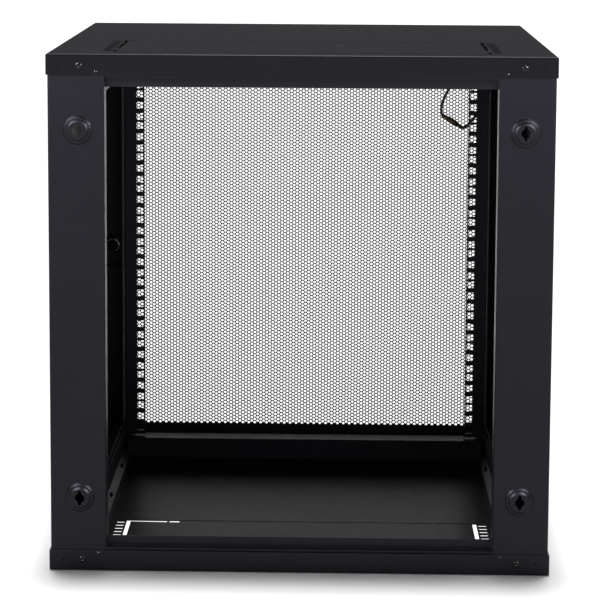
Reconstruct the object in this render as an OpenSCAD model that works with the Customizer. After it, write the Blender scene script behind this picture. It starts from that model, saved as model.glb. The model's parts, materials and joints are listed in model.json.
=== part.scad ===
// Wall-mount 19-inch equipment cabinet with an open back and a perforated, lockable front door.
// Origin: middle of the underside of the bottom cover.
// +X is the door's hinge side, +Y points to the door, -Y to the wall, +Z is up.
// Shapes are drawn with y = 0 at the rear cover lips, and placed() moves them to the origin.

/* [Cabinet] */
// Width across the covers
width = 600; // [580:5:700]
// Depth from the rear cover lips to the face of the door
depth = 450; // [420:10:600]
// Rack units that the rails hold
units = 12; // [9:1:15]
// Height above and below the rack units
end_height = 45.8; // [45:0.2:60]

/* [Sheet metal] */
// Thickness of the covers, frame and door skin
sheet = 1.5; // [1.2:0.1:1.8]
// Thickness of the equipment rails
rail_sheet = 2; // [1.6:0.2:2.4]
// Thickness of the side panels and of the door mesh
thin_sheet = 1.2; // [1:0.1:1.4]
// Outer radius of every sheet-metal bend
bend = 2.5; // [2:0.5:3]

/* [Covers] */
// Height of the lip around each cover
lip = 25; // [25:1:28]
// Width of the cable entry plate
entry_width = 441; // [300:1:445]
// Distance from the rear lip to the near edge of the cable entry
entry_start = 30; // [28:1:40]
// Length of the cable entry along the depth
entry_length = 144; // [120:6:180]
// Width of the long side slots of the cable entry
entry_slot = 5.2; // [4:0.2:6]

/* [Wall fixing] */
// Distance between the wall bosses across the width
boss_spacing_x = 526; // [520:1:526]
// Distance between the wall bosses in height
boss_spacing_z = 444; // [300:2:450]
// Radius of the round middle of each keyhole
keyhole_r = 5.75; // [4:0.25:6]
// Width of the narrow slots above and below that middle
keyhole_slot = 4.2; // [3:0.2:6]

/* [Rails] */
// Distance from the front face of the door back to the rail face
rail_setback = 34; // [34:1:60]
// Rearward travel of the rails in the slots of the depth bars
rail_travel = 200; // [60:10:220]

/* [Door] */
// Depth of the folded edge of the door
door_fold = 18; // [16:1:18]
// Width of the plain stile beside the door mesh
stile = 52; // [48:1:54]
// Height of the plain rail above and below the door mesh
door_rail = 22; // [18:1:30]
// Radius of the hinge pins
pin_r = 3; // [2.5:0.5:3.5]

/* [Hidden] */

$fn = 48;
eps = 0.01;
UNIT = 44.45;
height = units * UNIT + 2 * end_height;
charcoal = [0.16, 0.16, 0.18];
zinc = [0.72, 0.73, 0.75];
black_zinc = [0.1, 0.1, 0.11];

// Frame: the uprights stand just inside the cover lips
frame_x = width / 2 - sheet - 0.1;
upright_width = 66.9;
upright_inner_x = frame_x - upright_width;
upright_inner_leg = 20;
upright_outer_leg = 12.5;
frame_z = 2 * sheet;
rear_y = sheet;
crossbar_height = 40;
crossbar_step_z = 28;
crossbar_step_y = 9;
crossbar_half = upright_inner_x - 0.2;
crossbar_flange_half = upright_inner_x + 12.5;
boss_r = 17.5;
boss_rise = 5;

// Front frame: posts and crossbars stand behind the closed door
post_y = depth - door_fold - 5;
post_width = 48.4;
post_inner_x = frame_x - post_width;
post_inner_leg = 9.5;
post_outer_leg = 13.5;
front_bar_depth = 25;

// Rails and the depth bars that carry them
rail_inner_x = 226;
rail_hole = 9.5;
rail_hole_x = 232.55;
rail_outer_x = 254.3;
rail_y = depth - rail_setback;
rail_leg = 42;
rail_end_gap = 2;
bar_web_x = rail_outer_x + 0.2;
bar_step_x = bar_web_x - 8.5;
bar_step_z = 18.5;
bar_step_rise = 7;
bar_top_z = 68;
bar_flange = 11.5;
bolt_r = 3;
bolt_y = rail_y - 22;
bolt_z = 60;
hole_gap = 0.5;

// Screws of the cover lips
lip_screw_x = 261;
lip_screw_z = 14;
lip_screw_r = 2;
screw_hole_r = 2.1;
rivet_x = 241;
rivet_z = 21.4;
rivet_r = 1.5;
rivet_hole_r = 1.6;
blank_x = 283;

// Door and its hinge axis
door_gap = 1.5;
door_half = width / 2 - 2;
door_z = lip + door_gap;
door_height = height - 2 * door_z;
mesh_half = door_half - stile;
mesh_overlap = 8;
hinge_x = width / 2 - 10;
hinge_y = depth - door_fold / 2;
pin_gap = 0.1;
bracket_sheet = 2.5;
stiffener_y = depth - 14;
stiffener_x = mesh_half + mesh_overlap + 2;

// Cam locks of the door and of the side panels
lock_x = -(width / 2 - 28);
lock_z = height / 2;
lock_r = 9;
lock_bezel_r = 12.5;
lock_bezel = 2.5;
plug_r = 6;
cam_sheet = 3;
cam_hub_r = 8;
cam_screw_r = 2;
door_cam_y = post_y - sheet - 4 - cam_sheet;
door_cam_reach = 23.5;

// Side panels
panel_fold = 8;
panel_x = width / 2 - 0.3;
panel_y = rear_y + upright_outer_leg + 2;
panel_depth = post_y - post_outer_leg - 2 - panel_y;
panel_z = lip + 1;
panel_height = height - 2 * panel_z;
side_lock_z = height - 50;
side_lock_y = panel_y + panel_depth / 2;
side_cam_reach = 34;
side_cam_x = panel_x - panel_fold - 0.7 - cam_sheet;

// Earth bonding lead between the frame and the door
wire_r = 1.9;
wire_y = post_y + 3.5;
frame_stud = [236, post_y, height - 33.5];
door_stud = [272, stiffener_y, height - 105];
socket_end = [188.2, wire_y, height - 124.5];
tab_end = [218.2, wire_y, height - 142.4];

// --- Helpers -------------------------------------------------------------------------------

// Moves a shape drawn from the rear lips so that the origin is mid-depth
module placed() translate([0, -depth / 2, 0]) children();

// The part as modelled on the +X side, or its mirror image on the -X side
module on_side(side) {
    if (side > 0) children();
    else mirror([1, 0, 0]) children();
}

// The part as modelled at the bottom, or its mirror image at the top
module at_top() {
    translate([0, 0, height]) mirror([0, 0, 1]) children();
}

// Cylinder along Y from the plane y
module rod_y(x, y, z, r, length) {
    translate([x, y, z]) rotate([-90, 0, 0]) cylinder(r = r, h = length);
}

// Cylinder along X from the plane x
module rod_x(x, y, z, r, length) {
    translate([x, y, z]) rotate([0, 90, 0]) cylinder(r = r, h = length);
}

// Rectangle whose two corners at y = 0 are rounded
module rounded_base(w, d, r) {
    translate([r, 0]) square([w - 2 * r, r]);
    translate([0, r]) square([w, d - r]);
    for (x = [r, w - r]) translate([x, r]) circle(r);
}

// Folded channel: a web along x at y = 0 and a leg toward +y at each end
module channel_outline(w, leg_a, leg_b) {
    long_leg = max(leg_a, leg_b);
    difference() {
        rounded_base(w, long_leg, bend);
        translate([sheet, sheet]) rounded_base(w - 2 * sheet, long_leg, bend - sheet);
        translate([-1, leg_a]) square([w / 2 + 1, long_leg]);
        translate([w / 2, leg_b]) square([w / 2 + 1, long_leg]);
    }
}

// Block with rounded bends under it, centred on x, starting at y = 0 and z = 0
module folded_block(w, d, h, r) {
    intersection() {
        translate([-w / 2, d, 0]) rotate([90, 0, 0]) linear_extrude(d) rounded_base(w, h, r);
        translate([-w / 2, 0, 0]) rotate([90, 0, 90]) linear_extrude(w) rounded_base(d, h, r);
    }
}

// Folded tray: a plate at z = 0 with a lip of height h on its four edges
module folded_tray(w, d, h, t) {
    difference() {
        folded_block(w, d, h, bend);
        translate([0, t, t]) folded_block(w - 2 * t, d - 2 * t, h, bend - t);
    }
}

// Slot through a plate at x, running along y, with round ends
module slot_x(x, y_from, y_to, z, slot_width, thickness) {
    r = slot_width / 2;
    translate([x, y_from + r, z - r]) cube([thickness, y_to - y_from - slot_width, slot_width]);
    for (y = [y_from + r, y_to - r]) rod_x(x, y, z, r, thickness);
}

// Point at the fraction t of a cubic curve
function curve(p, t) =
    pow(1 - t, 3) * p[0] + 3 * pow(1 - t, 2) * t * p[1] + 3 * (1 - t) * t * t * p[2] + t * t * t * p[3];

// Round wire that follows a cubic curve
module wire(p, steps) {
    for (i = [0:steps - 1]) hull() {
        translate(curve(p, i / steps)) sphere(wire_r, $fn = 10);
        translate(curve(p, (i + 1) / steps)) sphere(wire_r, $fn = 10);
    }
}

// Pan-head screw along +Y, with a cross recess in the head that faces -Y
module screw_y(head_r, head, shank_r, length) {
    recess = head_r * 0.42;
    difference() {
        union() {
            rod_y(0, -head, 0, head_r, head);
            rod_y(0, -eps, 0, shank_r, length);
        }
        for (turn = [0, 90]) rotate([0, turn, 0])
            translate([-recess, -head - 1, -0.4]) cube([2 * recess, 1 + head * 0.6, 0.8]);
    }
}

// --- Covers --------------------------------------------------------------------------------

module cover() {
    half_opening = entry_width / 2 + entry_slot;
    difference() {
        folded_tray(width, depth, lip, sheet);
        translate([-half_opening, entry_start, -1]) cube([2 * half_opening, entry_length, sheet + 2]);
        for (side = [-1, 1]) {
            on_side(side) cable_tie_slits(half_opening);
            rod_y(side * lip_screw_x, -1, lip_screw_z, screw_hole_r, sheet + 2);
            rod_y(side * rivet_x, -1, rivet_z, rivet_hole_r, sheet + 2);
            rod_y(side * blank_x, -1, lip_screw_z, screw_hole_r, sheet + 2);
        }
    }
}

// Row of short slits beside the cable entry
module cable_tie_slits(half_opening) {
    pitch = 11.4;
    slit = 6;
    last_y = entry_start + entry_length - 4.5 - slit;
    count = floor((entry_length - slit) / pitch);
    for (i = [0:count - 1])
        translate([half_opening + 2.3, last_y - i * pitch, -1]) cube([10, slit, sheet + 2]);
}

// Plate that fills the cable entry, held by narrow tabs until it is broken out. Over the length
// cut_back from the -X side its far edge stands away, which leaves a tapering gap with one tab.
module entry_plate(cut_back) {
    gap = 2;
    wide_gap = [5.5, 7.5];
    tab_width = 3;
    tab_x = entry_width * 0.39;
    bridge = 22;
    half = entry_width / 2;
    far_y = entry_start + entry_length;
    linear_extrude(sheet) {
        difference() {
            translate([-half, entry_start + gap]) square([entry_width, entry_length - 2 * gap]);
            if (cut_back > 0) polygon([
                [-half - 1, far_y], [-half - 1, far_y - wide_gap[0]],
                [cut_back - half, far_y - wide_gap[1]], [cut_back - half, far_y]
            ]);
        }
        for (x = [-tab_x, tab_x]) {
            translate([x - tab_width / 2, entry_start]) square([tab_width, gap + 1]);
            translate([x - tab_width / 2, far_y - wide_gap[1]]) square([tab_width, wide_gap[1]]);
        }
    }
    for (side = [-1, 1]) on_side(side)
        translate([half - eps, entry_start + 16, 0]) cube([entry_slot + eps, bridge, sheet]);
}

module bottom_cover() color(charcoal) placed() cover();
module top_cover() color(charcoal) placed() at_top() cover();
module bottom_entry_plate() color(charcoal) placed() entry_plate(64);
module top_entry_plate() color(charcoal) placed() at_top() entry_plate(0);

module cover_screws() color(black_zinc) placed() {
    for (x = [-lip_screw_x, lip_screw_x]) for (z = [lip_screw_z, height - lip_screw_z])
        translate([x, 0, z]) screw_y(4.2, 2, lip_screw_r, 10);
}

module crossbar_rivets() color(black_zinc) placed() {
    for (x = [-rivet_x, rivet_x]) for (z = [rivet_z, height - rivet_z]) {
        rod_y(x, -0.8, z, 2.4, 0.8);
        rod_y(x, -eps, z, rivet_r, 6);
    }
}

// --- Frame ---------------------------------------------------------------------------------

// Sloping shoulder of a boss that rounds off from its foot at radius r_out to its top at radius r_in
function shoulder(r_out, r_in, z) = [
    for (turn = [0:18:90]) [r_out + (r_in - r_out) * turn / 90, z + boss_rise / 2 * sin(turn)]
];

// Embossed wall boss with two rounded steps, its base at z = 0
module boss_shell() {
    top_r = boss_r * 0.58;
    inner_foot_r = boss_r * 0.77;
    step_r = boss_r * 0.85;
    wall = 1;
    middle = boss_rise / 2;
    rotate_extrude() polygon(concat(
        [[boss_r - wall, -sheet], [boss_r, -sheet]],
        shoulder(boss_r, step_r, 0),
        shoulder(inner_foot_r, top_r, middle),
        [[0, boss_rise], [0, boss_rise - sheet], [top_r - wall, boss_rise - sheet],
            [inner_foot_r - wall, middle - sheet], [step_r - wall, middle - sheet]]
    ));
}

// Keyhole: a round middle with a narrow slot above and below it
module keyhole_cutter() {
    reach = 7;
    cylinder(r = keyhole_r, h = 4 * boss_rise, center = true);
    for (y = [-reach, reach]) translate([0, y, 0])
        cylinder(r = keyhole_slot / 2, h = 4 * boss_rise, center = true);
    cube([keyhole_slot, 2 * reach, 4 * boss_rise], center = true);
}

module rear_upright() {
    boss_z = [(height - boss_spacing_z) / 2, (height + boss_spacing_z) / 2];
    notch = crossbar_step_z + 1;
    difference() {
        union() {
            difference() {
                translate([upright_inner_x, rear_y, frame_z]) linear_extrude(height - 2 * frame_z)
                    channel_outline(upright_width, upright_inner_leg, upright_outer_leg);
                for (z = boss_z) rod_y(boss_spacing_x / 2, 0, z, boss_r - eps, sheet * 3);
            }
            for (z = boss_z) translate([boss_spacing_x / 2, rear_y, z]) rotate([90, 0, 0]) boss_shell();
        }
        for (z = boss_z) translate([boss_spacing_x / 2, rear_y, z]) rotate([90, 0, 0]) keyhole_cutter();
        for (z = [frame_z - 1, height - notch]) translate([upright_inner_x - 1, rear_y + sheet, z])
            cube([5, upright_inner_leg, notch - frame_z + 1]);
        for (z = [lip_screw_z, height - lip_screw_z])
            rod_y(lip_screw_x, 0, z, screw_hole_r, sheet * 3);
        for (z = [rivet_z, height - rivet_z]) rod_y(rivet_x, 0, z, rivet_hole_r, sheet * 3);
    }
}

// Stepped bar behind a rear lip: a flange, a ledge and a raised face
module rear_crossbar() {
    flange_y = rear_y + sheet;
    face_y = flange_y + crossbar_step_y;
    difference() {
        translate([-crossbar_flange_half, flange_y, frame_z])
            cube([2 * crossbar_flange_half, sheet, crossbar_step_z - frame_z]);
        for (x = [-rivet_x, rivet_x]) rod_y(x, flange_y - 1, rivet_z, rivet_hole_r, sheet + 2);
    }
    translate([-crossbar_half, 0, 0]) rotate([90, 0, 90]) linear_extrude(2 * crossbar_half) union() {
        translate([flange_y, crossbar_step_z - sheet]) square([crossbar_step_y + sheet, sheet]);
        translate([face_y, crossbar_step_z - sheet])
            square([sheet, crossbar_height - crossbar_step_z + sheet]);
    }
}

module front_post() {
    translate([post_inner_x, post_y, frame_z]) linear_extrude(height - 2 * frame_z)
        mirror([0, 1]) channel_outline(post_width, post_inner_leg, post_outer_leg);
}

// Opening in the lock-side post that lets the barrel and the unlocked cam pass
module lock_opening() {
    side_room = lock_r + 1;
    translate([lock_x - side_room, post_y - 2 * post_inner_leg, lock_z - 32])
        cube([post_inner_x + side_room, 3 * post_inner_leg, 32 + side_room + 4]);
}

module front_crossbar() {
    inner_half = post_inner_x - 0.1;
    translate([-inner_half, 0, 0]) rotate([90, 0, 90]) linear_extrude(2 * inner_half) union() {
        translate([post_y - sheet, frame_z]) square([sheet, crossbar_height - frame_z]);
        translate([post_y - front_bar_depth, crossbar_height - sheet]) square([front_bar_depth, sheet]);
        translate([post_y - front_bar_depth, 14]) square([sheet, crossbar_height - 14]);
    }
}

// Bar between the rear upright and the front post, with the slot that the rail bolt slides in
// and a sloping step down to the narrower foot
module depth_bar() {
    start_y = rear_y + sheet;
    end_y = post_y - sheet;
    step_end_y = post_y - front_bar_depth - 0.5;
    slope_top_z = bar_step_z + bar_step_rise;
    slope_sheet = 2;
    tongue_slot = 16;
    difference() {
        union() {
            translate([bar_web_x, start_y, slope_top_z - slope_sheet])
                cube([sheet, end_y - start_y, bar_top_z - slope_top_z + slope_sheet]);
            translate([bar_web_x, start_y, bar_top_z - sheet]) cube([bar_flange, end_y - start_y, sheet]);
            translate([0, step_end_y, 0]) rotate([90, 0, 0]) linear_extrude(step_end_y - start_y)
                polygon([
                    [bar_step_x, bar_step_z], [bar_step_x, bar_step_z - slope_sheet],
                    [bar_web_x + eps, slope_top_z - slope_sheet], [bar_web_x + eps, slope_top_z]
                ]);
            translate([bar_step_x, start_y, frame_z])
                cube([sheet, step_end_y - start_y, bar_step_z - frame_z]);
        }
        slot_x(bar_web_x - 1, bolt_y - rail_travel - bolt_r - hole_gap, bolt_y + bolt_r + hole_gap,
            bolt_z, 2 * (bolt_r + hole_gap), sheet + 2);
        for (y = [80:122:step_end_y - tongue_slot]) translate([bar_step_x + 3, y, bar_step_z - slope_sheet])
            cube([3.2, tongue_slot, bar_step_rise + 2 * slope_sheet]);
        for (y = depth_bar_screw_y()) rod_x(bar_step_x - 1, y, lip_screw_z, screw_hole_r, sheet + 2);
    }
}

function depth_bar_screw_y() = [60, post_y - 47];

module depth_bar_screws() color(black_zinc) placed() {
    for (side = [-1, 1]) on_side(side) for (y = depth_bar_screw_y()) {
        for (z = [lip_screw_z, height - lip_screw_z]) translate([bar_step_x, y, z])
            rotate([0, 0, -90]) screw_y(3.6, 1.8, 1.9, 6);
    }
}

module rear_upright_hinge_side() color(charcoal) placed() rear_upright();
module rear_upright_lock_side() color(charcoal) placed() on_side(-1) rear_upright();
module front_post_hinge_side() color(charcoal) placed() front_post();
module front_post_lock_side() color(charcoal) placed() difference() {
    on_side(-1) front_post();
    lock_opening();
}
module rear_bottom_crossbar() color(charcoal) placed() rear_crossbar();
module rear_top_crossbar() color(charcoal) placed() at_top() rear_crossbar();
module front_bottom_crossbar() color(charcoal) placed() front_crossbar();
module front_top_crossbar() color(charcoal) placed() at_top() front_crossbar();
module bottom_depth_bar_hinge_side() color(charcoal) placed() depth_bar();
module bottom_depth_bar_lock_side() color(charcoal) placed() on_side(-1) depth_bar();
module top_depth_bar_hinge_side() color(charcoal) placed() at_top() depth_bar();
module top_depth_bar_lock_side() color(charcoal) placed() at_top() on_side(-1) depth_bar();

// --- Rails ---------------------------------------------------------------------------------

// L-shaped equipment rail with three square holes in each rack unit
module rail() {
    start_z = crossbar_height + rail_end_gap;
    rail_height = height - 2 * start_z;
    difference() {
        union() {
            translate([rail_inner_x, rail_y - rail_sheet, start_z])
                cube([rail_outer_x - bend - rail_inner_x, rail_sheet, rail_height]);
            translate([rail_outer_x - rail_sheet, rail_y - rail_leg, start_z])
                cube([rail_sheet, rail_leg - bend, rail_height]);
            translate([rail_outer_x - bend, rail_y - bend, start_z]) rail_bend(rail_height);
        }
        for (unit = [0:units - 1]) for (offset = [6.35, 22.225, 38.1])
            translate([rail_hole_x - rail_hole / 2, rail_y - rail_sheet - 1,
                end_height + unit * UNIT + offset - rail_hole / 2])
                cube([rail_hole, rail_sheet + 2, rail_hole]);
        for (z = [bolt_z, height - bolt_z])
            rod_x(rail_outer_x - rail_sheet - 1, bolt_y, z, bolt_r + 0.2, rail_sheet + 2);
    }
}

// Quarter ring that joins the two legs of a rail
module rail_bend(h) {
    intersection() {
        difference() {
            cylinder(r = bend, h = h);
            translate([0, 0, -1]) cylinder(r = bend - rail_sheet, h = h + 2);
        }
        cube([bend, bend, h]);
    }
}

module rail_bolts() {
    for (z = [bolt_z, height - bolt_z]) translate([rail_outer_x - rail_sheet, bolt_y, z])
        rotate([0, 0, -90]) screw_y(5.5, 3.2, bolt_r, 11);
}

module rail_nuts() {
    nut_x = bar_web_x + sheet + 0.2;
    for (z = [bolt_z, height - bolt_z]) difference() {
        translate([nut_x, bolt_y, z]) rotate([0, 90, 0]) cylinder(r = 5.8, h = 4.8, $fn = 6);
        rod_x(nut_x - 1, bolt_y, z, bolt_r + 0.05, 8);
    }
}

module rail_hinge_side() color(charcoal) placed() rail();
module rail_lock_side() color(charcoal) placed() on_side(-1) rail();
module rail_bolts_hinge_side() color(black_zinc) placed() rail_bolts();
module rail_bolts_lock_side() color(black_zinc) placed() on_side(-1) rail_bolts();
module rail_nuts_hinge_side() color(zinc) placed() rail_nuts();
module rail_nuts_lock_side() color(zinc) placed() on_side(-1) rail_nuts();

// --- Cam locks -----------------------------------------------------------------------------

// Lock housing along +Y: a barrel and a flat bezel that ends at y = length + lock_bezel
module lock_barrel(length) {
    difference() {
        union() {
            rod_y(0, 0, 0, lock_r, length);
            rod_y(0, length, 0, lock_bezel_r, lock_bezel);
        }
        rod_y(0, -1, 0, plug_r + pin_gap, length + lock_bezel + 2);
    }
}

// Turning plug with a keyway in its outer end and a screw hole in its inner end
module lock_plug(length) {
    difference() {
        rod_y(0, 0, 0, plug_r, length);
        translate([-0.9, length * 0.65, -3.6]) cube([1.8, length, 7.2]);
        rod_y(0, -1, 0, cam_screw_r + 0.1, 1 + length * 0.45);
    }
}

module lock_nut(y) {
    difference() {
        translate([0, y, 0]) rotate([-90, 0, 0]) cylinder(r = 13.8, h = 4, $fn = 6);
        rod_y(0, y - 1, 0, lock_r + 0.05, 6);
    }
}

// Flat cam with a round hub, its tip toward -X, behind the plane y
module lock_cam(y, reach) {
    tip = 5;
    difference() {
        union() {
            rod_y(0, y, 0, cam_hub_r, cam_sheet);
            translate([-reach + tip, y, -tip]) cube([reach - tip, cam_sheet, 2 * tip]);
            rod_y(-reach + tip, y, 0, tip, cam_sheet);
        }
        rod_y(0, y - 1, 0, cam_screw_r + 0.1, cam_sheet + 2);
    }
}

module cam_screw() screw_y(4, 2, cam_screw_r, 7);

// --- Side panels ---------------------------------------------------------------------------

// Places a lock that points along +Y so that it points along +X out of the side panel
module side_lock_place() {
    translate([0, side_lock_y, side_lock_z]) rotate([0, 0, -90]) rotate([0, 90, 0]) children();
}

module side_panel() {
    difference() {
        translate([panel_x, panel_y, height / 2]) rotate([0, -90, 0])
            folded_tray(panel_height, panel_depth, panel_fold, thin_sheet);
        rod_x(panel_x - 5, side_lock_y, side_lock_z, lock_r + 0.1, 8);
    }
}

module side_lock_barrel() {
    inner_x = side_cam_x + cam_sheet + 0.2;
    side_lock_place() translate([0, inner_x, 0]) lock_barrel(panel_x - inner_x);
}

module side_lock_plug() {
    side_lock_place() translate([0, side_cam_x + cam_sheet, 0])
        lock_plug(panel_x + lock_bezel - 0.5 - side_cam_x - cam_sheet);
}

module side_lock_nut() side_lock_place() lock_nut(panel_x - thin_sheet - 4);

module side_lock_cam() side_lock_place() {
    lock_cam(side_cam_x, side_cam_reach);
    translate([0, side_cam_x, 0]) cam_screw();
}

module side_panel_hinge_side() color(charcoal) placed() side_panel();
module side_panel_lock_side() color(charcoal) placed() on_side(-1) side_panel();
module side_lock_barrel_hinge_side() color(zinc) placed() side_lock_barrel();
module side_lock_barrel_lock_side() color(zinc) placed() on_side(-1) side_lock_barrel();
module side_lock_nut_hinge_side() color(black_zinc) placed() side_lock_nut();
module side_lock_nut_lock_side() color(black_zinc) placed() on_side(-1) side_lock_nut();
module side_lock_plug_hinge_side() color(zinc) placed() side_lock_plug();
module side_lock_plug_lock_side() color(zinc) placed() on_side(-1) side_lock_plug();
module side_lock_cam_hinge_side() color(black_zinc) placed() side_lock_cam();
module side_lock_cam_lock_side() color(black_zinc) placed() on_side(-1) side_lock_cam();

// --- Door ----------------------------------------------------------------------------------

// Folded front skin with the opening for the mesh, the lock hole and the two hinge holes
module door_skin() color(charcoal) placed() {
    mesh_z = door_z + door_rail;
    difference() {
        translate([0, depth, door_z]) rotate([90, 0, 0])
            folded_tray(2 * door_half, door_height, door_fold, sheet);
        translate([-mesh_half, depth - sheet - 1, mesh_z])
            cube([2 * mesh_half, sheet + 2, height - 2 * mesh_z]);
        rod_y(lock_x, depth - sheet - 1, lock_z, lock_r + 0.1, sheet + 2);
        for (z = [door_z - 1, height - door_z - sheet - 1])
            translate([hinge_x, hinge_y, z]) cylinder(r = pin_r + pin_gap, h = sheet + 2);
    }
}

// Perforated sheet behind the skin, drawn without its holes
module door_mesh() color(charcoal) placed() {
    half = mesh_half + mesh_overlap;
    start_z = door_z + door_rail - mesh_overlap;
    translate([-half, depth - sheet - thin_sheet, start_z])
        cube([2 * half, thin_sheet, height - 2 * start_z]);
}

module door_stiffener(stiffener_width) {
    start_z = door_z + 18;
    translate([stiffener_x, stiffener_y, start_z]) linear_extrude(height - 2 * start_z)
        channel_outline(stiffener_width, depth - sheet - stiffener_y, depth - sheet - stiffener_y);
}

module door_stiffener_hinge_side() color(charcoal) placed() door_stiffener(24);

module door_stiffener_lock_side() color(charcoal) placed() difference() {
    on_side(-1) door_stiffener(32);
    rod_y(lock_x, stiffener_y - 1, lock_z, lock_r + 0.1, sheet + 2);
}

module door_lock_barrel() color(zinc) placed()
    translate([lock_x, post_y - 4, lock_z]) lock_barrel(depth - post_y + 4);

module door_lock_nut() color(black_zinc) placed() translate([lock_x, 0, lock_z]) lock_nut(stiffener_y - 4);

module door_lock_plug() color(zinc) placed() translate([lock_x, door_cam_y + cam_sheet, lock_z])
    lock_plug(depth + lock_bezel - 0.5 - door_cam_y - cam_sheet);

module door_lock_cam() color(black_zinc) placed()
    translate([lock_x, 0, lock_z]) lock_cam(door_cam_y, door_cam_reach);

module door_lock_cam_screw() color(black_zinc) placed()
    translate([lock_x, door_cam_y, lock_z]) cam_screw();

// --- Hinges --------------------------------------------------------------------------------

// Sprung pin: it slides down out of its bracket to free the door
module top_hinge_pin() color(zinc) placed() translate([hinge_x, hinge_y, 0]) {
    pin_top = height - 18;
    handle_z = height - 72;
    translate([0, 0, handle_z]) cylinder(r = pin_r, h = pin_top - handle_z);
    translate([0, 0, height - 36]) cylinder(r = pin_r + 2, h = 2);
    rod_x(-9, 0, handle_z + 2.5, 2.5, 9);
}

// Compression spring around the pin, from the guide to the collar
module top_hinge_spring() color(zinc) placed() {
    coil_r = pin_r + 1.3;
    coil_wire = 0.5;
    turns = 5;
    steps = 60;
    start_z = height - 53 + coil_wire + 0.1;
    rise = 17 - 2 * coil_wire - 0.2;
    translate([hinge_x, hinge_y, start_z]) for (i = [0:steps - 1]) hull() for (k = [i, i + 1])
        translate([coil_r * cos(360 * turns * k / steps), coil_r * sin(360 * turns * k / steps),
            rise * k / steps]) sphere(coil_wire, $fn = 6);
}

module top_hinge_guide() color(zinc) placed() {
    guide_z = height - 55;
    wall_x = door_half - sheet;
    difference() {
        union() {
            translate([hinge_x - 7, hinge_y - 6, guide_z]) cube([wall_x - hinge_x + 7, 12, 2]);
            translate([wall_x - 2, hinge_y - 6, guide_z - 12]) cube([2, 12, 12]);
        }
        translate([hinge_x, hinge_y, guide_z - 1]) cylinder(r = pin_r + pin_gap, h = 4);
    }
}

// Angle bracket on the post, its tongue level with the gap between the lip and the door
module hinge_bracket() {
    tongue_z = lip - 3;
    difference() {
        union() {
            translate([hinge_x - 11, post_y, tongue_z]) cube([19, 20, bracket_sheet]);
            translate([hinge_x - 11, post_y, 5]) cube([19, bracket_sheet, tongue_z - 5]);
        }
        translate([hinge_x, hinge_y, tongue_z - 1]) cylinder(r = pin_r + pin_gap, h = bracket_sheet + 2);
    }
}

module bottom_hinge_bracket() color(charcoal) placed() hinge_bracket();
module top_hinge_bracket() color(charcoal) placed() at_top() hinge_bracket();

module bottom_hinge_pin() color(zinc) placed() translate([hinge_x, hinge_y, 0]) {
    translate([0, 0, lip - 9]) cylinder(r = pin_r, h = 26);
    translate([0, 0, lip - 11]) cylinder(r = pin_r + 2, h = 2);
}

module bottom_hinge_washer() color("white") placed()
    translate([hinge_x, hinge_y, lip - 0.4]) difference() {
    cylinder(r = pin_r + 4, h = door_gap + 0.3);
    translate([0, 0, -1]) cylinder(r = pin_r + pin_gap, h = 5);
}

module door_buffers() color("black") placed() {
    for (z = [110, height - 110]) rod_y(-(stiffener_x + 6), post_y, z, 4.5, stiffener_y - post_y - 0.2);
}

// --- Earth bonding lead --------------------------------------------------------------------

// Threaded stud along +Y with its hex nut and the ring terminal under the nut
module earth_stud(length) {
    stud_r = 2.5;
    ring_y = 0.2;
    ring = 1.2;
    nut_y = ring_y + ring + 0.2;
    nut = 3.4;
    rod_y(0, 0, 0, stud_r, length);
    difference() {
        union() {
            translate([0, nut_y, 0]) rotate([-90, 0, 0]) cylinder(r = 4.6, h = nut, $fn = 6);
            rod_y(0, ring_y, 0, 4.8, ring);
        }
        rod_y(0, -1, 0, stud_r - eps, length);
    }
}

module frame_earth_stud() color(zinc) placed() translate(frame_stud) earth_stud(9);
module door_earth_stud() color(zinc) placed() translate(door_stud) mirror([0, 1, 0]) earth_stud(7);

module frame_earth_lead() color("black") placed() wire([
    frame_stud + [-6, 3.5, -7.2], [212, wire_y, height - 72],
    [180, wire_y, height - 103.5], socket_end
], 14);

module door_earth_lead() color("black") placed() wire([
    tab_end + [wire_r + 0.6, 0, -0.4], [232, wire_y, height - 141],
    [236, wire_y, height - 125], door_stud + [-6.2, -5.2, -4.5]
], 12);

// Push-on connector: two crimped ends and a wider sleeve in the middle
module earth_connector() color([0.55, 0.38, 0.12]) placed() {
    span = tab_end - socket_end;
    length = norm(span);
    tilt = atan2(-span[2], span[0]);
    translate(socket_end) rotate([0, tilt, 0]) {
        translate([wire_r + 0.2, 0, 0]) rotate([0, 90, 0]) cylinder(r = 2.7, h = length - wire_r - 0.2);
        translate([length * 0.28, 0, 0]) rotate([0, 90, 0]) cylinder(r = 3.4, h = length * 0.44);
    }
}

// --- Assembly ------------------------------------------------------------------------------

top_cover();
bottom_cover();
top_entry_plate();
bottom_entry_plate();
rear_upright_hinge_side();
rear_upright_lock_side();
front_post_hinge_side();
front_post_lock_side();
rear_top_crossbar();
rear_bottom_crossbar();
front_top_crossbar();
front_bottom_crossbar();
top_depth_bar_hinge_side();
top_depth_bar_lock_side();
bottom_depth_bar_hinge_side();
bottom_depth_bar_lock_side();
cover_screws();
crossbar_rivets();
depth_bar_screws();
rail_hinge_side();
rail_lock_side();
rail_bolts_hinge_side();
rail_bolts_lock_side();
rail_nuts_hinge_side();
rail_nuts_lock_side();
side_panel_hinge_side();
side_panel_lock_side();
side_lock_barrel_hinge_side();
side_lock_barrel_lock_side();
side_lock_nut_hinge_side();
side_lock_nut_lock_side();
side_lock_plug_hinge_side();
side_lock_plug_lock_side();
side_lock_cam_hinge_side();
side_lock_cam_lock_side();
door_skin();
door_mesh();
door_stiffener_hinge_side();
door_stiffener_lock_side();
door_lock_barrel();
door_lock_nut();
door_lock_plug();
door_lock_cam();
door_lock_cam_screw();
top_hinge_pin();
top_hinge_spring();
top_hinge_guide();
top_hinge_bracket();
bottom_hinge_bracket();
bottom_hinge_pin();
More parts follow.
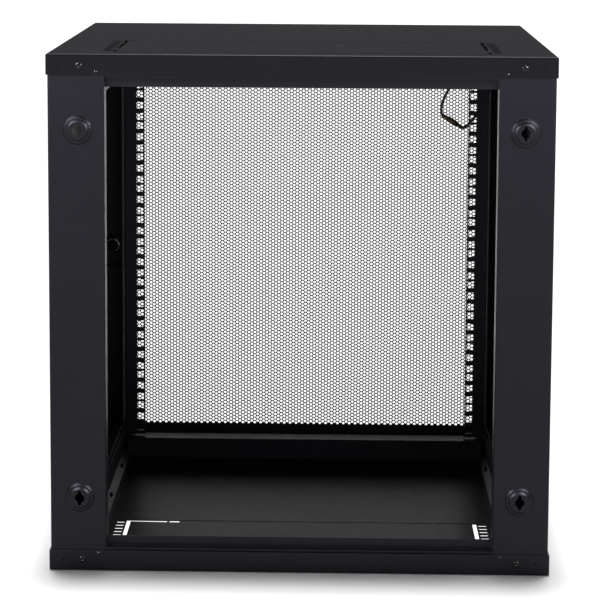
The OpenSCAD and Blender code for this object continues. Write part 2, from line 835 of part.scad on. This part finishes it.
bottom_hinge_washer();
door_buffers();
frame_earth_stud();
frame_earth_lead();
earth_connector();
door_earth_stud();
door_earth_lead();
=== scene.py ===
import json
import math

import bmesh
import bpy
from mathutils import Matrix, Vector

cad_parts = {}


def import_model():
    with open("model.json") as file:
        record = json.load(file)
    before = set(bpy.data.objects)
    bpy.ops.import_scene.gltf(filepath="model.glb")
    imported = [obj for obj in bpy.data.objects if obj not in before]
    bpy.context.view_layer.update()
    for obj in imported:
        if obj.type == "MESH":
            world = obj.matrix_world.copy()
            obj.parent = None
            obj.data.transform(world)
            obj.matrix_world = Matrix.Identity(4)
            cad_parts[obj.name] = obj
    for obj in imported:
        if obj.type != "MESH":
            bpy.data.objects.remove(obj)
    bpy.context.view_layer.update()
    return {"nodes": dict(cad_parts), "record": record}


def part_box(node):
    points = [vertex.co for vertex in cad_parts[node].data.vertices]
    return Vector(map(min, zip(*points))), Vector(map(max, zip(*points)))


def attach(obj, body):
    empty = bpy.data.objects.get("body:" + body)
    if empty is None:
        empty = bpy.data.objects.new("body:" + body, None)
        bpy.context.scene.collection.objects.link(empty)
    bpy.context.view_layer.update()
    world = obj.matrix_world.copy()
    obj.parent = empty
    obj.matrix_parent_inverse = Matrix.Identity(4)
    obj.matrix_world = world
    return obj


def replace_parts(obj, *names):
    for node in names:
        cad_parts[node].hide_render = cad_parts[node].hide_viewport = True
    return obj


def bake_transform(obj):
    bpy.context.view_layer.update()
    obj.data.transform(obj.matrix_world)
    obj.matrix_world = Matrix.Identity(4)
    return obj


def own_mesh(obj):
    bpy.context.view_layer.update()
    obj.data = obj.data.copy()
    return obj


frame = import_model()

# Wall-mount equipment cabinet, seen from its open back. Everything is in metres in the shared frame:
# +X the door's hinge side, +Y the door, -Y the wall, +Z up, origin in the middle of the underside.

MM = 0.001

# --- Values read from the frame ---------------------------------------------------------------

cover_low, cover_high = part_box("bottom_cover")
width = cover_high.x - cover_low.x
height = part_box("top_cover")[1].z
rear_y = cover_low.y
sheet_low, sheet_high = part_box("door_mesh")


# --- Materials --------------------------------------------------------------------------------

def add_node(tree, kind, **values):
    """A shader node with its properties and input values set by name."""
    node = tree.nodes.new(kind)
    for key, value in values.items():
        if key in node.inputs:
            node.inputs[key].default_value = value
        else:
            setattr(node, key, value)
    return node


def noise(tree, vector, scale, detail=3.0):
    node = add_node(tree, "ShaderNodeTexNoise", Scale=scale, Detail=detail)
    tree.links.new(vector, node.inputs["Vector"])
    return node.outputs["Fac"]


def remap(tree, value, low, high, to_low, to_high):
    node = add_node(tree, "ShaderNodeMapRange")
    for socket, number in zip(node.inputs[1:5], (low, high, to_low, to_high)):
        socket.default_value = number
    tree.links.new(value, node.inputs["Value"])
    return node.outputs["Result"]


def mix_colour(tree, factor, first, second):
    node = add_node(tree, "ShaderNodeMix", data_type="RGBA")
    tree.links.new(factor, node.inputs["Factor"])
    for socket, colour in ((node.inputs[6], first), (node.inputs[7], second)):
        if isinstance(colour, tuple):
            socket.default_value = (*colour, 1.0)
        else:
            tree.links.new(colour, socket)
    return node.outputs[2]


def multiply(tree, first, second):
    node = add_node(tree, "ShaderNodeMath", operation="MULTIPLY")
    tree.links.new(first, node.inputs[0])
    tree.links.new(second, node.inputs[1])
    return node.outputs[0]


def edge_factor(tree, rounded):
    """How far the rounded normal leans from the face's own normal, 0 on flats and up to 1 on edges."""
    geometry = add_node(tree, "ShaderNodeNewGeometry")
    dot = add_node(tree, "ShaderNodeVectorMath", operation="DOT_PRODUCT")
    tree.links.new(geometry.outputs["Normal"], dot.inputs[0])
    tree.links.new(rounded, dot.inputs[1])
    return remap(tree, dot.outputs["Value"], 0.995, 0.85, 0.0, 1.0)


def finish(name, colours, patch, roughness, grain, depth, metallic=0.0, edge_wear_and_highlight=None, edge=0.5 * MM,
           stretch=(1.0, 1.0, 1.0), specular=0.5, tint=(1.0, 1.0, 1.0)):
    """
    A surface with patchy colour, uneven roughness, a fine grain and softened edges, whose colour is
    partly wear and partly a painted edge highlight.

    patch and grain are noise scales, in cells a metre. depth is the height of the grain, and edge is
    how far the rounding, the wear and the painted edge highlight reach in from an edge.
    """
    material = bpy.data.materials.new(name)
    material.use_nodes = True
    tree = material.node_tree
    shader = tree.nodes["Principled BSDF"]
    position = add_node(tree, "ShaderNodeTexCoord").outputs["Object"]
    mapping = add_node(tree, "ShaderNodeMapping", Scale=stretch)
    tree.links.new(position, mapping.inputs["Vector"])
    streaked = mapping.outputs["Vector"]

    patches = noise(tree, position, patch)
    colour = mix_colour(tree, remap(tree, patches, 0.35, 0.65, 0.0, 1.0), *colours)
    rounded = add_node(tree, "ShaderNodeBevel", samples=4, Radius=edge).outputs["Normal"]
    # Edge colour: wear in chips, and a painted edge highlight where it is lighter than the surface.
    chips = remap(tree, noise(tree, position, 14 * patch), 0.4, 0.62, 0.15, 1.0)
    wear_and_highlight = multiply(tree, edge_factor(tree, rounded), chips)
    colour = mix_colour(tree, wear_and_highlight, colour, edge_wear_and_highlight or colours[1])
    tree.links.new(colour, shader.inputs["Base Color"])

    scuffs = noise(tree, streaked, 6 * patch, 5.0)
    tree.links.new(remap(tree, scuffs, 0.3, 0.7, *roughness), shader.inputs["Roughness"])
    bump = add_node(tree, "ShaderNodeBump", Strength=0.6, Distance=depth)
    tree.links.new(noise(tree, streaked, grain, 2.0), bump.inputs["Height"])
    tree.links.new(rounded, bump.inputs["Normal"])
    tree.links.new(bump.outputs["Normal"], shader.inputs["Normal"])
    shader.inputs["Metallic"].default_value = metallic
    shader.inputs["Specular IOR Level"].default_value = specular
    shader.inputs["Specular Tint"].default_value = (*tint, 1.0)
    return material


# Each finish's worn edge colour is wear and, where it is lighter than the surface, a painted edge
# highlight.
def powder_coat():
    return finish("charcoal_powder_coat", ((0.0080, 0.0076, 0.0095), (0.0092, 0.0088, 0.0108)),
                  patch=9.0, roughness=(0.37, 0.42), grain=900.0, depth=0.04 * MM,
                  edge_wear_and_highlight=(0.013, 0.012, 0.014), edge=0.7 * MM, specular=0.18, tint=(0.82, 0.79, 1.0))


def zinc():
    return finish("zinc_plate", ((0.50, 0.51, 0.54), (0.60, 0.60, 0.60)), patch=60.0,
                  roughness=(0.28, 0.48), grain=2500.0, depth=0.02 * MM, metallic=1.0,
                  edge_wear_and_highlight=(0.70, 0.70, 0.70), edge=0.2 * MM)


def black_zinc():
    return finish("black_zinc", ((0.004, 0.004, 0.005), (0.008, 0.008, 0.009)), patch=60.0,
                  roughness=(0.12, 0.22), grain=2500.0, depth=0.01 * MM,
                  edge_wear_and_highlight=(0.02, 0.02, 0.02), edge=0.2 * MM, specular=0.22)


def chrome():
    return finish("lock_chrome", ((0.42, 0.42, 0.44), (0.52, 0.52, 0.54)), patch=40.0,
                  roughness=(0.12, 0.28), grain=1500.0, depth=0.005 * MM, metallic=1.0,
                  edge_wear_and_highlight=(0.80, 0.80, 0.80), edge=0.3 * MM)


def spring_steel():
    return finish("spring_steel", ((0.28, 0.28, 0.29), (0.40, 0.40, 0.41)), patch=120.0,
                  roughness=(0.25, 0.40), grain=3000.0, depth=0.01 * MM, metallic=1.0,
                  edge_wear_and_highlight=(0.50, 0.50, 0.50), edge=0.1 * MM, stretch=(1.0, 1.0, 8.0))


def nylon():
    return finish("white_nylon", ((0.70, 0.70, 0.66), (0.78, 0.78, 0.74)), patch=80.0,
                  roughness=(0.40, 0.55), grain=1500.0, depth=0.02 * MM,
                  edge_wear_and_highlight=(0.60, 0.60, 0.56), edge=0.2 * MM)


def rubber():
    return finish("black_rubber", ((0.012, 0.012, 0.012), (0.022, 0.022, 0.021)), patch=70.0,
                  roughness=(0.70, 0.88), grain=1200.0, depth=0.06 * MM,
                  edge_wear_and_highlight=(0.045, 0.045, 0.043), edge=0.3 * MM)


def wire_jacket():
    return finish("wire_jacket", ((0.010, 0.010, 0.011), (0.018, 0.018, 0.019)), patch=60.0,
                  roughness=(0.35, 0.50), grain=900.0, depth=0.02 * MM,
                  edge_wear_and_highlight=(0.03, 0.03, 0.03), edge=0.2 * MM)


def connector_brass():
    return finish("connector_brass", ((0.040, 0.026, 0.011), (0.075, 0.048, 0.018)), patch=90.0,
                  roughness=(0.35, 0.50), grain=1800.0, depth=0.02 * MM, metallic=0.4,
                  edge_wear_and_highlight=(0.20, 0.13, 0.05), edge=0.3 * MM)


MATERIALS = {
    "charcoal_coat": powder_coat(),
    "zinc_plate": zinc(),
    "black_zinc": black_zinc(),
    "lock_chrome": chrome(),
    "spring_steel": spring_steel(),
    "white_nylon": nylon(),
    "black_rubber": rubber(),
    "wire_jacket": wire_jacket(),
    "connector_brass": connector_brass(),
}


def paint_cad_nodes():
    for part in frame["record"]["subparts"]:
        node = frame["nodes"][part["node"]]
        node.data.materials.clear()
        node.data.materials.append(MATERIALS[part["material_slot"]])


# --- Mesh helpers -----------------------------------------------------------------------------

def piece(name, bm, slot, smooth=True):
    """A new object from a bmesh, with its normals outward and its finish assigned."""
    bmesh.ops.recalc_face_normals(bm, faces=bm.faces)
    mesh = bpy.data.meshes.new(name)
    bm.to_mesh(mesh)
    bm.free()
    for polygon in mesh.polygons:
        polygon.use_smooth = smooth
    mesh.materials.append(MATERIALS[slot])
    made = bpy.data.objects.new(name, mesh)
    bpy.context.scene.collection.objects.link(made)
    return made


def bezier(points, t):
    """Point at the fraction t of the cubic curve through four control points."""
    a, b, c, d = points
    s = 1 - t
    return a * s ** 3 + b * (3 * s * s * t) + c * (3 * s * t * t) + d * t ** 3


def tube(path, radii, sides=16):
    """A closed round tube along a list of points with a radius at each, its ends slightly domed."""
    bm = bmesh.new()
    rings = []
    across = (path[1] - path[0]).orthogonal().normalized()
    for i, point in enumerate(path):
        along = (path[min(i + 1, len(path) - 1)] - path[max(i - 1, 0)]).normalized()
        across = (across - along * across.dot(along)).normalized()
        side = along.cross(across)
        turns = [2 * math.pi * k / sides for k in range(sides)]
        rings.append([bm.verts.new(point + (across * math.cos(t) + side * math.sin(t)) * radii[i])
                      for t in turns])
    for low, high in zip(rings, rings[1:]):
        for k in range(sides):
            bm.faces.new((low[k], low[(k + 1) % sides], high[(k + 1) % sides], high[k]))
    for end, nearer in ((0, 1), (-1, -2)):
        ring = rings[end]
        outward = (path[end] - path[nearer]).normalized()
        tip = bm.verts.new(path[end] + outward * radii[end] * 0.4)
        for k in range(sides):
            bm.faces.new((ring[k], ring[(k + 1) % sides], tip))
    return bm


def lathe(profile, centre, axis_y=False, sides=32):
    """A solid of revolution from (radius, distance) pairs, its axis along Y or Z through centre."""
    bm = bmesh.new()
    rings = []
    for radius, along in profile:
        ring = []
        for k in range(sides):
            turn = 2 * math.pi * k / sides
            x, y = radius * math.cos(turn), radius * math.sin(turn)
            offset = Vector((x, along, y)) if axis_y else Vector((x, y, along))
            ring.append(bm.verts.new(centre + offset))
        rings.append(ring)
    for low, high in zip(rings, rings[1:]):
        for k in range(sides):
            bm.faces.new((low[k], low[(k + 1) % sides], high[(k + 1) % sides], high[k]))
    bm.faces.new(rings[0])
    bm.faces.new(rings[-1])
    return bm


# --- Perforated door sheet --------------------------------------------------------------------

HOLE_PITCH = 4.9 * MM
HOLE_ACROSS = 3.60 * MM
SHEET_BORDER = 8.6 * MM


def cell_neighbours(column, row):
    """The cells above, to the upper right and to the lower right of a cell of the staggered pattern."""
    upper_right = row + column % 2
    return (column, row + 1), (column + 1, upper_right), (column + 1, upper_right - 1)


def hexagon(bm, x, z, radius):
    """Six new corners about a point of the XZ plane, counted from the +X one."""
    turns = [k * math.pi / 3 for k in range(6)]
    return [bm.verts.new((x + radius * math.cos(t), 0, z + radius * math.sin(t))) for t in turns]


def perforated_sheet(half_x, half_z):
    """Flat sheet with hexagonal holes on a 60-degree pattern, about the origin of an XZ plane."""
    bm = bmesh.new()
    radius = HOLE_ACROSS / math.sqrt(3)
    column_step = HOLE_PITCH * math.sin(math.radians(60))
    columns = math.ceil(half_x / column_step) + 1
    rows = math.ceil(half_z / HOLE_PITCH) + 2
    cells = {}
    for column in range(-columns, columns + 2):
        for row in range(-rows, rows + 2):
            x = column * column_step
            z = (row + (column % 2) / 2) * HOLE_PITCH
            cells[column, row] = hexagon(bm, x, z, radius)
            inside = abs(x) < half_x - SHEET_BORDER and abs(z) < half_z - SHEET_BORDER
            if not inside:
                bm.faces.new(cells[column, row])
    for (column, row), own in cells.items():
        up, upper_right, lower_right = (cells.get(c) for c in cell_neighbours(column, row))
        if up:
            bm.faces.new((own[1], up[5], up[4], own[2]))
        if upper_right:
            bm.faces.new((own[0], upper_right[4], upper_right[3], own[1]))
        if lower_right:
            bm.faces.new((own[5], lower_right[3], lower_right[2], own[0]))
        if up and upper_right:
            bm.faces.new((own[1], upper_right[3], up[5]))
        if upper_right and lower_right:
            bm.faces.new((own[0], lower_right[2], upper_right[4]))
    return bm


def cut(bm, point, direction):
    """Cuts away everything beyond a plane."""
    geometry = list(bm.verts) + list(bm.edges) + list(bm.faces)
    bmesh.ops.bisect_plane(bm, geom=geometry, plane_co=point, plane_no=direction, clear_outer=True)


def door_sheet():
    """The door's perforated sheet, in two pieces that meet at mid height."""
    centre = (sheet_low + sheet_high) / 2
    half = (sheet_high - sheet_low) / 2
    for name, side in (("upper", 1), ("lower", -1)):
        bm = perforated_sheet(half.x, half.z)
        cut(bm, (half.x, 0, 0), (1, 0, 0))
        cut(bm, (-half.x, 0, 0), (-1, 0, 0))
        cut(bm, (0, 0, side * half.z), (0, 0, side))
        cut(bm, (0, 0, 0), (0, 0, -side))
        back = bmesh.ops.extrude_face_region(bm, geom=list(bm.faces), use_keep_orig=True)
        moved = [v for v in back["geom"] if isinstance(v, bmesh.types.BMVert)]
        bmesh.ops.translate(bm, verts=moved, vec=(0, 2 * half.y, 0))
        bmesh.ops.translate(bm, verts=bm.verts, vec=(centre.x, sheet_low.y, centre.z))
        made = piece("door_mesh_" + name, bm, "charcoal_coat", smooth=False)
        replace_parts(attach(made, "door"), "door_mesh")


# --- Earth lead, buffers and hinge spring -----------------------------------------------------

WIRE_R = 1.9 * MM
WIRE_STEPS = 40


def wire(name, points):
    path = [bezier(points, k / WIRE_STEPS) for k in range(WIRE_STEPS + 1)]
    return piece(name, tube(path, [WIRE_R] * len(path)), "wire_jacket"), path


def crimp_sleeve(name, ring_edge, path, body):
    """Crimped barrel of a ring terminal: it leaves the ring flat and grips the end of the wire."""
    along = (path[1] - path[0]).normalized()
    steps = [ring_edge, path[0] - along * 0.5 * MM]
    steps += [path[0] + along * reach * MM for reach in (0.5, 1.5, 4.0, 4.6)]
    radii = [r * WIRE_R for r in (0.75, 0.95, 1.45, 1.5, 1.5, 1.2)]
    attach(piece(name, tube(steps, radii), "connector_brass"), body)


def connector(socket_end, tab_end):
    """Push-on connector: two crimped ends and a wider sleeve, as (share of the length, radius in mm)."""
    first_crimp = ((0.0, 2.3), (0.03, 2.8), (0.12, 2.9), (0.16, 2.5))
    sleeve = ((0.20, 3.1), (0.27, 3.3), (0.29, 3.9), (0.50, 4.0), (0.71, 3.9), (0.73, 3.3), (0.80, 3.1))
    second_crimp = ((0.84, 2.6), (0.88, 3.0), (0.97, 2.9), (1.0, 2.3))
    shape = first_crimp + sleeve + second_crimp
    path = [socket_end.lerp(tab_end, along) for along, _ in shape]
    made = piece("earth_push_connector", tube(path, [radius * MM for _, radius in shape]),
                 "connector_brass")
    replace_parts(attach(made, "frame"), "earth_connector")


def millimetres(x, y, z):
    return Vector((x, y, z)) * MM


def connector_ends():
    """Where the wires enter the connector: its socket is high on one side, its tab low on the other."""
    low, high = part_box("earth_connector")
    wire_y = (low.y + high.y) / 2
    in_x, in_z = 1.5 * MM, 2 * MM
    return Vector((low.x + in_x, wire_y, high.z - in_z)), Vector((high.x - in_x, wire_y, low.z + in_z))


def frame_half(socket_end):
    """Wire from the stud on the frame, hanging down to the connector's socket."""
    low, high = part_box("frame_earth_stud")
    stud = (low + high) / 2
    start = Vector((stud.x, socket_end.y, stud.z)) + millimetres(-6, 0, -6)
    made, path = wire("frame_earth_wire", (start, start + millimetres(-18, 0, -32),
                                           socket_end + millimetres(-8, 0, 21), socket_end))
    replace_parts(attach(made, "frame"), "frame_earth_lead")
    ring_edge = Vector((stud.x, low.y, stud.z)) + millimetres(-3, 0.8, -3)
    crimp_sleeve("frame_earth_sleeve", ring_edge, path, "frame")


def door_half(tab_end, slope):
    """Wire from the connector's tab to the stud on the door."""
    low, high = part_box("door_earth_stud")
    stud = (low + high) / 2
    end = stud + millimetres(-6.5, -1, -3)
    made, path = wire("door_earth_wire", (tab_end, tab_end + slope * 8 * MM,
                                          end + millimetres(-28, -1, -8), end))
    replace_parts(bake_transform(made), "door_earth_lead")
    ring_edge = Vector((stud.x, high.y, stud.z)) + millimetres(-4, -0.8, -2)
    crimp_sleeve("door_earth_sleeve", ring_edge, path[::-1], "door")


def earth_leads():
    socket_end, tab_end = connector_ends()
    connector(socket_end, tab_end)
    frame_half(socket_end)
    door_half(tab_end, (tab_end - socket_end).normalized())


def buffers():
    """Domed rubber stops between the door and the frame."""
    low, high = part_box("door_buffers")
    radius = (high.x - low.x) / 2
    reach = high.y - low.y
    x = (low.x + high.x) / 2
    dome = ((0.9, 0.0), (1.0, 0.12), (1.0, 0.45), (0.93, 0.7), (0.74, 0.88), (0.4, 0.98), (0.05, 1.0))
    profile = [(radius * across, reach * along) for across, along in dome]
    for name, z in (("upper", high.z - radius), ("lower", low.z + radius)):
        bm = lathe(profile, Vector((x, low.y, z)), axis_y=True)
        made = piece("door_buffer_" + name, bm, "black_rubber")
        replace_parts(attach(made, "frame"), "door_buffers")


RIVET_HEAD_R = 2.4 * MM
SCREW_HEAD_R = 4.2 * MM


def four_of(node, radius, build):
    """One mesh with a fastener made by build(centre) at each corner of a node's box, on the lips."""
    low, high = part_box(node)
    together = bmesh.new()
    for x in (low.x + radius, high.x - radius):
        for z in (low.z + radius, high.z - radius):
            one = build(Vector((x, cover_low.y, z)))
            mesh = bpy.data.meshes.new(node)
            one.to_mesh(mesh)
            one.free()
            together.from_mesh(mesh)
            bpy.data.meshes.remove(mesh)
    return together


def rivet(centre):
    """Blind rivet with a low domed head."""
    dome, shank, length = 1.1 * MM, 1.5 * MM, 6 * MM
    profile = [(shank, length), (shank, 0.0), (RIVET_HEAD_R, 0.0), (RIVET_HEAD_R, -0.2 * MM)]
    for turn in (0.4, 0.75, 1.1, 1.5):
        profile.append((RIVET_HEAD_R * math.cos(turn), -dome * math.sin(turn)))
    return lathe(profile, centre, axis_y=True, sides=20)


def cross_head_screw(centre):
    """Pan-head screw: a domed head, with the middle of its crown pressed in along a cross."""
    shank, length = 2 * MM, 10 * MM
    rim = ((0.0, 0.0), (0.0, 0.5), (0.2, 1.1), (0.7, 1.6), (1.4, 1.9), (2.0, 2.0))
    crown = ((2.3, 2.03), (2.7, 2.05), (3.1, 2.06), (3.4, 2.06), (3.7, 2.06), (4.0, 2.06))
    profile = [(shank, length), (shank, 0.0)]
    profile += [(SCREW_HEAD_R - inward * MM, -rise * MM) for inward, rise in rim + crown]
    bm = lathe(profile, centre, axis_y=True, sides=48)
    arm, half_slot, recess = 1.95 * MM, 0.42 * MM, 1.2 * MM
    for vertex in bm.verts:
        away = vertex.co - centre
        on_top = away.y < -1.9 * MM and math.hypot(away.x, away.z) < arm
        if on_top and min(abs(away.x), abs(away.z)) < half_slot:
            vertex.co.y += recess
    return bm


def lip_fasteners():
    """The rivets that hold the crossbars to the cover lips, and the screws beside them."""
    for name, node, radius, build in (
            ("rivet_domes", "crossbar_rivets", RIVET_HEAD_R, rivet),
            ("cover_screw_heads", "cover_screws", SCREW_HEAD_R, cross_head_screw)):
        made = piece(name, four_of(node, radius, build), "black_zinc")
        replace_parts(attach(made, "frame"), node)


def hinge_spring():
    """Coil around the sprung hinge pin, with its ends closed up."""
    low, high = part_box("top_hinge_spring")
    wire = 0.5 * MM
    coil = (high.x - low.x) / 2 - wire
    centre = (low + high) / 2
    turns, steps = 5, 160
    length = high.z - low.z
    path = []
    for k in range(steps + 1):
        t = k / steps
        rise = 3 * t * t - 2 * t ** 3
        turn = 2 * math.pi * turns * t
        path.append(Vector((centre.x + coil * math.cos(turn), centre.y + coil * math.sin(turn),
                            low.z + wire + (length - 2 * wire) * rise)))
    made = piece("top_hinge_coil", tube(path, [wire] * len(path), sides=10), "spring_steel")
    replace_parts(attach(made, "door"), "top_hinge_spring")
    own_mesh(made)


# --- Stage ------------------------------------------------------------------------------------

def stage_plane(name, x_from, x_to, y_from, y_to, z, strength=0.0):
    """Level pale plane, with its own light when it has a strength."""
    bm = bmesh.new()
    bm.faces.new([bm.verts.new(corner) for corner in (
        (x_from, y_from, z), (x_to, y_from, z), (x_to, y_to, z), (x_from, y_to, z))])
    mesh = bpy.data.meshes.new(name)
    bm.to_mesh(mesh)
    bm.free()
    material = bpy.data.materials.new(name)
    material.use_nodes = True
    shader = material.node_tree.nodes["Principled BSDF"]
    shader.inputs["Base Color"].default_value = (0.82, 0.82, 0.82, 1.0)
    shader.inputs["Roughness"].default_value = 0.9
    shader.inputs["Specular IOR Level"].default_value = 0.0
    shader.inputs["Emission Color"].default_value = (1.0, 1.0, 1.0, 1.0)
    shader.inputs["Emission Strength"].default_value = strength
    mesh.materials.append(material)
    made = bpy.data.objects.new(name, mesh)
    bpy.context.scene.collection.objects.link(made)


def floor():
    """Pale floor, with a light panel let into it under each end of the cable entry."""
    reach, glow = 40.0, 1.2
    stage_plane("floor", -reach, reach, -reach, reach, -0.2 * MM)
    edge = width / 2 - 30 * MM
    near, far = rear_y + 20 * MM, rear_y + 200 * MM
    stage_plane("panel_lock_side", -edge, -edge + 112 * MM, near, far, -0.1 * MM, glow)
    stage_plane("panel_hinge_side", edge - 64 * MM, edge, near, far, -0.1 * MM, glow)


def world():
    made = bpy.data.worlds.new("studio")
    bpy.context.scene.world = made
    made.use_nodes = True
    background = made.node_tree.nodes["Background"]
    background.inputs["Color"].default_value = (1.0, 1.0, 1.0, 1.0)
    background.inputs["Strength"].default_value = 0.13


def sun(name, direction, strength, spread_deg):
    data = bpy.data.lights.new(name, "SUN")
    data.energy = strength
    data.angle = math.radians(spread_deg)
    made = bpy.data.objects.new(name, data)
    made.rotation_euler = Vector(direction).to_track_quat("-Z", "Y").to_euler()
    bpy.context.scene.collection.objects.link(made)


def softbox(name, place, target, size, power, reflected_only=False):
    """Area light; one that is reflected only is not seen itself and adds nothing to matt surfaces."""
    data = bpy.data.lights.new(name, "AREA")
    data.shape = "RECTANGLE"
    data.size, data.size_y = size
    data.energy = power
    made = bpy.data.objects.new(name, data)
    made.location = place
    made.rotation_euler = (Vector(target) - Vector(place)).to_track_quat("-Z", "Y").to_euler()
    made.visible_camera = not reflected_only
    made.visible_diffuse = not reflected_only
    bpy.context.scene.collection.objects.link(made)
    return made


def shine_only_on(light, parts):
    """Limits a light to some parts, so that it does not glare in the others seen from other sides."""
    lit = bpy.data.collections.new(light.name + "_lit")
    for part in parts:
        lit.objects.link(part)
    light.light_linking.receiver_collection = lit


def rear_parts():
    """What the open back shows below the top cover: uprights, crossbars, bottom and fasteners."""
    nodes = ["rear_top_crossbar", "rear_bottom_crossbar", "bottom_cover", "bottom_entry_plate"]
    for side in ("hinge_side", "lock_side"):
        nodes += ["rear_upright_" + side, "bottom_depth_bar_" + side]
    fasteners = ("rivet_domes", "cover_screw_heads")
    return [frame["nodes"][node] for node in nodes] + [bpy.data.objects[name] for name in fasteners]


def lights():
    sun("overhead", direction=(0.0, -0.07, -1.0), strength=4.1, spread_deg=8.0)
    mid_height = height / 2
    open_back = (0, rear_y, mid_height)
    softbox("behind_door", (0, cover_high.y + 0.5, mid_height), (0, 0, mid_height),
            size=(1.0, 0.6), power=2.4, reflected_only=True)
    softbox("behind_camera", (0, rear_y - 2.7, 0.95), open_back, size=(3.2, 1.2), power=12.0)
    for name, side in (("left", -1), ("right", 1)):
        made = softbox("softbox_" + name, (side * 0.8, rear_y - 0.55, 1.05), open_back,
                       size=(0.55, 0.55), power=45.0, reflected_only=True)
        shine_only_on(made, rear_parts())


def camera():
    """Camera at the photograph's viewpoint: its back is nearly upright, and its lens is shifted down."""
    place = Vector((0.0371, rear_y - 2.1662, 0.8384))
    tip_down, roll, turn_left = 5.8815, -0.3067, 1.0594
    data = bpy.data.cameras.new("camera")
    data.sensor_width = 36.0
    data.lens = 111.95
    made = bpy.data.objects.new("camera", data)
    made.location = place
    made.rotation_euler = [math.radians(angle) for angle in (90 - tip_down, roll, turn_left)]
    bpy.context.scene.collection.objects.link(made)
    bpy.context.scene.camera = made
    shift_lens(made, -0.394, place)


def shift_lens(cam, amount, place):
    """Shifts the lens at this viewpoint only, so that a camera moved elsewhere is centred."""
    tolerance = 0.001
    driver = cam.data.driver_add("shift_y").driver
    driver.type = "SCRIPTED"
    terms = []
    for axis, value in zip("XYZ", place):
        variable = driver.variables.new()
        variable.name = axis.lower()
        variable.type = "TRANSFORMS"
        variable.targets[0].id = cam
        variable.targets[0].transform_type = "LOC_" + axis
        terms.append("abs(%s - %.5f)" % (axis.lower(), value))
    driver.expression = "%.4f if %s < %g else 0.0" % (amount, " + ".join(terms), tolerance)


# --- Build ------------------------------------------------------------------------------------

paint_cad_nodes()
door_sheet()
earth_leads()
buffers()
lip_fasteners()
hinge_spring()
floor()
world()
lights()
camera()
bpy.context.scene.view_settings.view_transform = "Standard"
